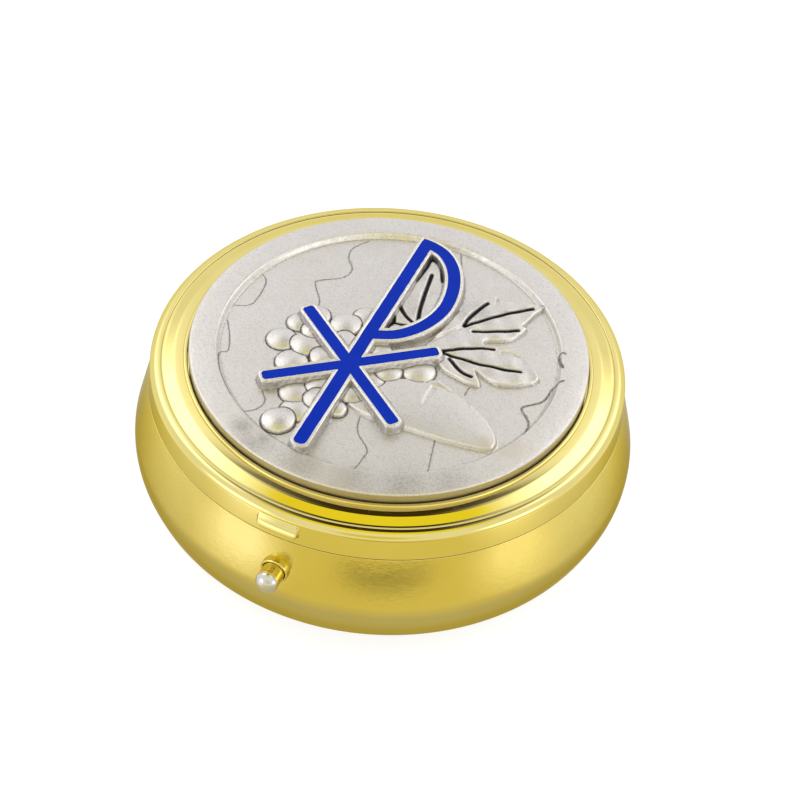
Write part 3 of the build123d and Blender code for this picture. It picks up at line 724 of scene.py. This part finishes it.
def reliefFields(x, y):
    # height above the field, and where patina with painted shade, wear with painted highlight, vein paint,
    # and stains with painted reflection lie
    reach = np.hypot(x, y)
    # slow waves, because the cast field isn't quite flat
    waves = np.sin(0.9 * x + 1.3) * np.cos(0.7 * y - 0.4) + np.sin(1.7 * y + 0.5 * x)
    wobble = medal["wobble"] * waves
    height = wobble.copy()
    ink, lines = np.zeros(x.shape), np.zeros(x.shape)
    for line in cracks["thin"] + cracks["deep"]:
        wide = cracks["deepWidth"] if line in cracks["deep"] else cracks["width"]
        gap = lineDistance(x, y, softPath(line, steps=4)) - wide / 2
        height -= cracks["depth"] * ledge(gap, cracks["wall"])
        lines = np.maximum(lines, cracks["dark"] * ledge(gap, cracks["darkWall"]))
    inside = -outlineDistance(x, y, softPath(loaf["outline"], closed=True, steps=5))
    crown = loaf["rise"] + loaf["crown"] * (1 - np.clip(1 - inside / loaf["crownReach"], 0, 1) ** 2)
    bread = crown * ledge(-inside, loaf["wall"])
    bread -= loaf["scoreDepth"] * ledge(outlineDistance(x, y, list(loaf["score"])), loaf["scoreWall"])
    gap = lineDistance(x, y, softPath(loaf["crease"])) - loaf["creaseHalf"]
    bread -= loaf["creaseDepth"] * ledge(gap, loaf["creaseWall"])
    height = np.maximum(height, bread)
    petal = outlineDistance(x, y, softPath(loaf["petal"], closed=True))
    petalTop = loaf["petalRise"] + loaf["petalCrown"] * np.clip(-petal, 0, loaf["petalReach"])
    height = np.maximum(height, petalTop * ledge(petal, loaf["petalWall"]))
    for level, layer in enumerate(grapes["layers"]):
        for gx, gy, size in layer:
            away = np.hypot(x - gx, y - gy)
            dome = grapes["wallRise"] + grapes["step"] * level
            dome = dome + grapes["crown"] * size * (1 - np.minimum(away / size, 1) ** 2)
            share = ledge(away - size, grapes["wall"])
            height = height * (1 - share) + np.maximum(dome, wobble) * share
            lines = np.maximum(lines * (1 - share), grapes["dark"] * band(away - size, *grapes["foot"]))
    for outline in leaf["outlines"]:
        gap = outlineDistance(x, y, softPath(outline, closed=True, steps=4))
        blade = leaf["rise"] + leaf["wave"] * np.sin(2.2 * x) * np.cos(1.8 * y)
        height = np.maximum(height, blade * ledge(gap, leaf["wall"]))
        lines = np.maximum(lines * ledge(-gap, leaf["clear"]), leaf["dark"] * band(gap, *leaf["foot"]))
    for line in veins["painted"] + veins["plain"]:
        gap = lineDistance(x, y, softPath(line, steps=4)) - veins["width"] / 2
        height -= veins["depth"] * ledge(gap, veins["wall"])
        if line in veins["painted"]:
            ink = np.maximum(ink, ledge(gap + veins["bare"], veins["wall"]))
    rimFoot = medal["rimStart"] - medal["rimSlope"]
    rim = np.clip((reach - rimFoot) / medal["rimSlope"], 0, 1)
    fall = medal["rimFall"] * np.clip((reach - medal["rimStart"]) / medal["fallWidth"], 0, 1) ** 2
    height = np.maximum(height, (medal["fieldDepth"] - fall) * rim * rim * (3 - 2 * rim))
    lines = np.maximum(lines, medal["rimDark"] * band(reach, rimFoot, *medal["rimLine"]))
    strokes = figureDistance(x, y)
    border = strokes - figure["border"]
    raised = ledge(border, figure["wall"])
    height = np.maximum(height, figure["rise"] * raised)
    lines *= 1 - ledge(border - figure["clear"], figure["wall"])
    lines = np.maximum(lines, figure["dark"] * band(border, *figure["foot"]))
    lines = np.maximum(lines, figure["sideDark"] * band(border, *figure["side"]))
    ink *= 1 - raised
    height -= figure["cell"] * ledge(strokes, figure["cellWall"])
    near = height - blurred(height, wear["blur"])
    sunk = np.clip(-near - wear["hollowFrom"], 0, 1)
    hollowAndShade = np.maximum(lines, wear["hollowMost"] * (1 - np.exp(-wear["hollowRate"] * sunk)))
    # the painted shade patches go into the same mask as the patina
    for sx, sy, size, amount in shadePatches:
        hollowAndShade = np.maximum(hollowAndShade, amount * np.exp(-((x - sx) ** 2 + (y - sy) ** 2) / size**2))
    wornAndSheen = np.clip(wear["rate"] * near - wear["start"], 0, wear["most"])
    # painted highlight on the rim slope, strongest at the back left, broken by the rubbing strokes
    towards = (x * rubAndSheen["towards"][0] + y * rubAndSheen["towards"][1]) / np.maximum(reach, 1)
    rubbedAndSheen = rubAndSheen["least"] + (1 - rubAndSheen["least"]) * np.clip(rubAndSheen["gain"] * towards + rubAndSheen["offset"], 0, 1)
    bearing = np.arctan2(y, x)
    stroke = np.sin(rubAndSheen["strokes"] * bearing + rubAndSheen["swing"] * np.sin(rubAndSheen["swings"] * bearing))
    rubbedAndSheen *= 1 - rubAndSheen["gaps"] + rubAndSheen["gaps"] * stroke
    wornAndSheen = np.maximum(wornAndSheen, rubbedAndSheen * np.clip(4 * rim * (1 - rim), 0, 1))
    stainAndReflection = np.zeros(x.shape)
    for sx, sy, size, amount in stainsAndReflections:
        stainAndReflection = np.maximum(stainAndReflection, amount * ledge(np.hypot(x - sx, y - sy) - size, wear["patchWall"]))
    return height, hollowAndShade, wornAndSheen, ink, stainAndReflection


def needfulTriangles(values, tolerance, largest):
    # halves right triangles over a square grid until the values between corners are within the tolerance
    size = values.shape[0]
    cells = size - 1
    levels = 2 * int(math.log2(cells))
    error = np.zeros((size, size))

    def halves(a, b, c):
        m = (a + b) // 2
        return m, (np.concatenate([c, b]), np.concatenate([a, c]), np.concatenate([m, m]))

    whole = tuple(np.array(spots) for spots in (
        [[0, 0], [cells, cells]], [[cells, cells], [0, 0]], [[cells, 0], [0, cells]]))
    steps, tris = [], whole
    for level in range(levels):
        middle, smaller = halves(*tris)
        steps.append((*tris, middle))
        tris = smaller
    for level in range(levels - 1, -1, -1):
        a, b, c, m = steps[level]
        at = values[m[:, 1], m[:, 0]]
        off = np.abs((values[a[:, 1], a[:, 0]] + values[b[:, 1], b[:, 0]]) / 2 - at)
        if level + 1 < levels:
            for first, second in ((a, c), (b, c)):
                k = (first + second) // 2
                off = np.maximum(off, error[k[:, 1], k[:, 0]])
        np.maximum.at(error, (m[:, 1], m[:, 0]), off)
    kept = []
    a, b, c = whole
    for level in range(levels):
        m = (a + b) // 2
        long = np.abs(a - c).sum(axis=1)
        split = (error[m[:, 1], m[:, 0]] > tolerance) | (long > largest)
        kept.append(np.stack([a[~split], b[~split], c[~split]], axis=1))
        a, b, c = a[split], b[split], c[split]
        if not len(a):
            break
        _, (a, b, c) = halves(a, b, c)
    else:
        kept.append(np.stack([a, b, c], axis=1))
    return np.concatenate(kept)


def buildMedal():
    flat = medal["radius"] - medal["edge"]
    field = medal["top"] - medal["fieldDepth"]
    side = np.linspace(-1, 1, medal["cells"] + 1)
    u, v = np.meshgrid(side, side)
    x, y = flat * u * np.sqrt(1 - v * v / 2), flat * v * np.sqrt(1 - u * u / 2)
    spin = math.radians(medal["turn"])  # the medal was glued in turned by this much
    height, hollowAndShade, wornAndSheen, ink, stainAndReflection = reliefFields(
        x * math.cos(spin) + y * math.sin(spin), y * math.cos(spin) - x * math.sin(spin))
    # fine patina and painted shade, paint, and wear and painted highlight also need small triangles
    detail = height + 0.02 * hollowAndShade + 0.04 * ink + 0.01 * wornAndSheen
    tris = needfulTriangles(detail, medal["tolerance"], medal["largest"])
    corners = tris.reshape(-1, 2)
    index = corners[:, 1] * (medal["cells"] + 1) + corners[:, 0]
    used, renumbered = np.unique(index, return_inverse=True)
    faces = renumbered.reshape(-1, 3).tolist()
    verts = np.stack([x.ravel()[used], y.ravel()[used], height.ravel()[used] + field], axis=1).tolist()
    fields = {"hollowAndShade": hollowAndShade, "wornAndSheen": wornAndSheen, "ink": ink, "stainAndReflection": stainAndReflection}
    fields = {name: values.ravel()[used].tolist() for name, values in fields.items()}
    # the rounded edge, the side and the back hang from the boundary, all the way round
    rim = [i for i, (px, py, _) in enumerate(verts) if math.hypot(px, py) > flat - 1e-6]
    rim.sort(key=lambda i: math.atan2(verts[i][1], verts[i][0]))
    top = verts[rim[0]][2]
    turns = [math.atan2(verts[i][1], verts[i][0]) for i in rim]
    edge = medal["edge"]
    section = [(flat + edge * math.sin(t), top - edge + edge * math.cos(t))
               for t in np.radians(range(15, 91, 15))]
    sideFoot = medal["seat"] + medal["seatEdge"]
    section += [(medal["radius"], z) for z in np.linspace(top - edge, sideFoot, 6)[1:]]
    section += [(medal["radius"] - inset, medal["seat"]) for inset in (medal["seatEdge"], medal["backWidth"])]
    count = len(rim)
    last = rim
    for reach, z in section:
        ring = list(range(len(verts), len(verts) + count))
        verts += [[reach * math.cos(t), reach * math.sin(t), z] for t in turns]
        pairs = [(i, (i + 1) % count) for i in range(count)]
        faces += [[last[i], last[j], ring[j], ring[i]] for i, j in pairs]
        last = ring
        onSide = z < top - edge + 0.01
        # painted shade on the side and the rounded edge
        low = sideTone["side"] if onSide else sideTone["edge"]
        # painted shade low on the side, in the gap beside the lip
        if z < medal["darkBelow"]:
            low = sideTone["deep"]
        # painted shade on the rounded edge at the back
        onTurn = reach > flat + sideTone["backFrom"] * edge and not onSide
        backShade = sideTone["backShade"] if onTurn else 0.0
        fields["hollowAndShade"] += [low + backShade * max(0.0, math.sin(t - sideTone["backTurn"])) for t in turns]
        # wear with a painted highlight on the rounded edge
        fields["wornAndSheen"] += [0.0 if onSide else sideTone["edgeWornAndSheen"]] * count
        fields["ink"] += [0.0] * count
        # painted reflection of the gold on the side, less on the edge
        fields["stainAndReflection"] += [sideTone["sideReflection"] if onSide else sideTone["edgeReflection"]] * count
    faces.append(last)
    piece = buildPiece("medal", verts, faces, "antiqueSilver", "lid", "medal", 180.0)
    for name, values in fields.items():
        layer = piece.data.attributes.new(name, "FLOAT", "POINT")
        layer.data.foreach_set("value", np.array(values, np.float32))
    return piece


buildMedal()


# Enamel: the blue strokes, one flat surface just under the border's top, with its edge in the cell's wall
inlay = dict(spare=0.03, within=0.06, depth=0.26)


def strokeOutlines():
    spare = inlay["spare"]
    outlines = []
    bars = [(*figure["stem"], figure["width"], figure["stemRound"])]
    bars += [(start, end, figure["armWidth"], figure["armRound"]) for start, end in figure["arms"]]
    for start, end, width, rounding in bars:
        along = (Vector(end) - Vector(start)).normalized() * spare
        across = Vector((-along.y, along.x)).normalized() * (width / 2 + spare)
        first, last = Vector(start) - along, Vector(end) + along
        corners = [first - across, last - across, last + across, first + across]
        outlines.append(roundedLine([(c.x, c.y, rounding) for c in corners], closed=True))
    half = figure["width"] / 2 + spare
    path = [Vector(p) for p in figureBowl]
    left, right = [], []
    for i, p in enumerate(path):
        ahead = (path[min(i + 1, len(path) - 1)] - path[max(i - 1, 0)]).normalized()
        across = Vector((-ahead.y, ahead.x)) * half
        left.append(tuple(p + across))
        right.append(tuple(p - across))
    outlines.append(left + right[::-1])
    return outlines


def buildEnamel():
    points, rings = [], []
    for outline in strokeOutlines():
        rings.append(list(range(len(points), len(points) + len(outline))))
        points += [Vector(p) for p in outline]
    flat, _, faces, *_ = geometry.delaunay_2d_cdt(points, [], rings, 1, 1e-5)
    middles = np.array([sum((flat[i] for i in face), Vector((0, 0))) / len(face) for face in faces])
    # the loop of the P stays open
    blue = figureDistance(middles[:, 0], middles[:, 1]) < inlay["within"]
    faces = [face for face, inside in zip(faces, blue) if inside]
    surface = medal["top"] - medal["fieldDepth"] + figure["rise"] - figure["sink"]
    deep = surface - inlay["depth"]
    count = len(flat)
    spin = Matrix.Rotation(math.radians(medal["turn"]), 2)
    flat = [spin @ p for p in flat]
    verts = [(p.x, p.y, surface) for p in flat] + [(p.x, p.y, deep) for p in flat]
    edges = {pair for face in faces for pair in zip(face, face[1:] + face[:1])}
    skin = [tuple(f) for f in faces] + [tuple(i + count for i in reversed(f)) for f in faces]
    skin += [(b, a, a + count, b + count) for a, b in sorted(edges) if (b, a) not in edges]
    return buildPiece("enamelInlay", verts, skin, "blueEnamel", "lid", "enamel_inlay")


buildEnamel()


def buildSpring():
    piece = placeObject("latchSpring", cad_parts["latch_spring"].data.copy())
    piece.data.materials.clear()
    piece.data.materials.append(finishes["springSteel"])
    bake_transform(piece)
    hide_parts("latch_spring")
    print("built latchSpring with", len(piece.data.polygons), "faces")


buildSpring()

# Pieces whose solids already have their shape keep it and get their finish
carried = {"collar_ring": "giltInside", "latch_rivets": "giltInside", "base_hinge_leaf": "giltPolished",
           "lid_hinge_leaf": "giltPolished", "hinge_pin": "springSteel"}
for node, finish in carried.items():
    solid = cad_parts[node]
    solid.data.materials.clear()
    solid.data.materials.append(finishes[finish])
print("finishes set on", len(carried), "solids")

# Stage: a white floor and room, soft boxes for light, cards for reflections and the camera
stage = dict(floorColor=(0.28, 0.28, 0.28), floorGlow=0.86, floorRough=0.9, floorHalf=3.0, floorDrop=2e-5,
             worldForDiffuse=0.15)
view = dict(azimuth=20.6, elevation=45.17, roll=4.85, focal=1691.0, imageSide=800, target=(0, 0, 17.22),
            targetRight=-1.03, targetDown=-5.77, distance=175.86)


def squareSheet(name, half, height, color, glow):
    # a matt square that also shines by itself
    mesh = bpy.data.meshes.new(name)
    corners = [(-half, -half, height), (half, -half, height), (half, half, height), (-half, half, height)]
    mesh.from_pydata(corners, [], [(0, 1, 2, 3)])
    material, tree, shader = startMaterial(name)
    shader.inputs["Base Color"].default_value = (*color, 1)
    shader.inputs["Specular IOR Level"].default_value = 0.0
    shader.inputs["Emission Color"].default_value = (*glow, 1)
    shader.inputs["Emission Strength"].default_value = 1.0
    mesh.materials.append(material)
    return placeObject(name, mesh), tree, shader


def seenDirectly(tree):
    # 1 for what the camera sees, also in reflections or through something clear
    light = addNode(tree, "ShaderNodeLightPath").outputs
    seen = mathNode(tree, "ADD", light["Is Camera Ray"], light["Is Glossy Ray"])
    return mathNode(tree, "ADD", seen, light["Is Transmission Ray"], clamp=True)


def buildFloor():
    floor, tree, shader = squareSheet(
        "floor", stage["floorHalf"], -stage["floorDrop"], stage["floorColor"], (1, 1, 1))
    shader.inputs["Roughness"].default_value = stage["floorRough"]
    glow = mathNode(tree, "MULTIPLY", seenDirectly(tree), stage["floorGlow"])
    tree.links.new(glow, shader.inputs["Emission Strength"])


def buildWorld():
    world = bpy.data.worlds.new("whiteRoom")
    bpy.context.scene.world = world
    world.use_nodes = True
    tree = world.node_tree
    strength = mapRange(tree, seenDirectly(tree), 0.0, 1.0, stage["worldForDiffuse"], 1.0)
    tree.nodes["Background"].inputs["Color"].default_value = (1, 1, 1, 1)
    tree.links.new(strength, tree.nodes["Background"].inputs["Strength"])


# turn is from the camera's side of the box to the right, lift is up from the floor, both in degrees
softBoxes = {
    "leftSoftBox": dict(turn=-113, lift=45, away=340, size=(260, 240), watts=0.45),
    "rightSoftBox": dict(turn=113, lift=45, away=340, size=(260, 240), watts=0.45),
    "topSoftBox": dict(turn=0, lift=66, away=400, size=(300, 340), watts=0.5),
}
# only reflections see the cards, which fade out to their edges: pale ones at the sides, yellow ones in front
# and overhead, a painted shadow under the box, and dark ones high behind it and at the foot of its front
standingCards = {
    "leftGlow": dict(turn=-136, lift=50, away=340, size=(310, 300), glow=(2.4, 2.4, 2.4), soft=0.4),
    "rightGlow": dict(turn=136, lift=50, away=340, size=(310, 300), glow=(2.4, 2.4, 2.4), soft=0.4),
    "nearLeftGlow": dict(turn=-57, lift=13, away=330, size=(260, 240), glow=(2.6, 2.6, 2.6), soft=0.4),
    "nearRightGlow": dict(turn=57, lift=13, away=330, size=(260, 240), glow=(2.6, 2.6, 2.6), soft=0.4),
    "frontGlow": dict(turn=0, lift=27, away=400, size=(330, 380), glow=(0.85, 0.76, 0.18), soft=0.3),
    "topGlow": dict(turn=180, lift=86, away=400, size=(460, 330), glow=(1.0, 0.88, 0.06), soft=0.15),
    "topCard": dict(turn=180, lift=63, away=380, size=(440, 185), glow=(0.05, 0.035, 0.01), soft=0.05),
}
# the flat cards paint the floor for reflections: a painted warm glow in front, a painted shadow under the
# box, and painted pools of light at the front left and right
lyingCards = {
    "warmFloorGlow": dict(turn=0, lift=0.15, away=55, size=(230, 150), glow=(0.84, 0.735, 0.29), soft=0.35),
    "baseShade": dict(turn=0, lift=90, away=0.3, size=(92, 92), glow=(0.62, 0.57, 0.42), soft=0.1),
    "leftTable": dict(turn=-45, lift=0.1, away=190, size=(170, 240), glow=(2.3, 2.3, 2.2), soft=0.4),
    "leftCard": dict(turn=-43, lift=0.45, away=49, size=(40, 34), glow=(1.4, 1.36, 1.3), soft=0.5),
    "rightCard": dict(turn=47, lift=0.45, away=49, size=(40, 34), glow=(1.3, 1.2, 0.85), soft=0.5),
    "frontCard": dict(turn=4.5, lift=0.6, away=50.2, size=(44, 6), glow=(0.05, 0.045, 0.03), soft=0.3),
}


def placeOnStage(thing, spot, lying=False):
    # sets a lamp or card at its place, facing the box or lying flat
    turn, lift = math.radians(spot["turn"] + view["azimuth"] - 90), math.radians(spot["lift"])
    out = Vector((math.cos(turn) * math.cos(lift), math.sin(turn) * math.cos(lift), math.sin(lift)))
    right = Vector((-math.sin(turn), math.cos(turn), 0))
    face = Vector((0, 0, 1)) if lying else out
    axes = Matrix((right, face.cross(right), face)).transposed()
    thing.matrix_world = Matrix.Translation(out * spot["away"] * mm) @ axes.to_4x4()


def buildLights():
    for name, box in softBoxes.items():
        lamp = bpy.data.lights.new(name, "AREA")
        lamp.shape = "RECTANGLE"
        lamp.size, lamp.size_y = box["size"][0] * mm, box["size"][1] * mm
        lamp.energy = box["watts"]
        thing = placeObject(name, lamp)
        placeOnStage(thing, box)
        thing.visible_camera = False
        thing.visible_glossy = False  # reflections see the cards instead


def buildCards(cards, lying):
    for name, card in cards.items():
        thing, tree, shader = squareSheet(name, 1, 0, (0, 0, 0), card["glow"])
        place = objectPlace(tree)
        soft = addNode(tree, "ShaderNodeTexGradient", {0: place}, gradient_type="QUADRATIC_SPHERE").outputs[1]
        tree.links.new(mapRange(tree, soft, 0.0, card["soft"], 0.0, 1.0), shader.inputs["Alpha"])
        placeOnStage(thing, card, lying)
        thing.scale = (card["size"][0] * mm / 2, card["size"][1] * mm / 2, 1)
        thing.visible_camera = False
        thing.visible_diffuse = False
        thing.visible_shadow = False


def buildCamera():
    up = math.radians(view["elevation"])
    roll = math.radians(view["roll"])
    turn = Matrix.Rotation(math.radians(view["azimuth"]), 3, "Z")
    right = Vector((1, 0, 0))
    down = Vector((0, -math.sin(up), -math.cos(up)))
    ahead = turn @ Vector((0, math.cos(up), -math.sin(up)))
    rolledRight = turn @ (right * math.cos(roll) - down * math.sin(roll))
    rolledDown = turn @ (right * math.sin(roll) + down * math.cos(roll))
    spot = Vector(view["target"]) - rolledRight * view["targetRight"] - rolledDown * view["targetDown"]
    spot -= ahead * view["distance"]
    lens = bpy.data.cameras.new("camera")
    lens.sensor_width = 36.0
    lens.lens = view["focal"] * lens.sensor_width / view["imageSide"]
    lens.clip_start, lens.clip_end = 0.01, 20.0
    camera = placeObject("camera", lens)
    axes = Matrix((rolledRight, -rolledDown, -ahead)).transposed()
    camera.matrix_world = Matrix.Translation(spot * mm) @ axes.to_4x4()
    bpy.context.scene.camera = camera


buildFloor()
buildWorld()
buildLights()
buildCards(standingCards, False)
buildCards(lyingCards, True)
buildCamera()
bpy.context.scene.view_settings.view_transform = "Standard"
print("stage set")
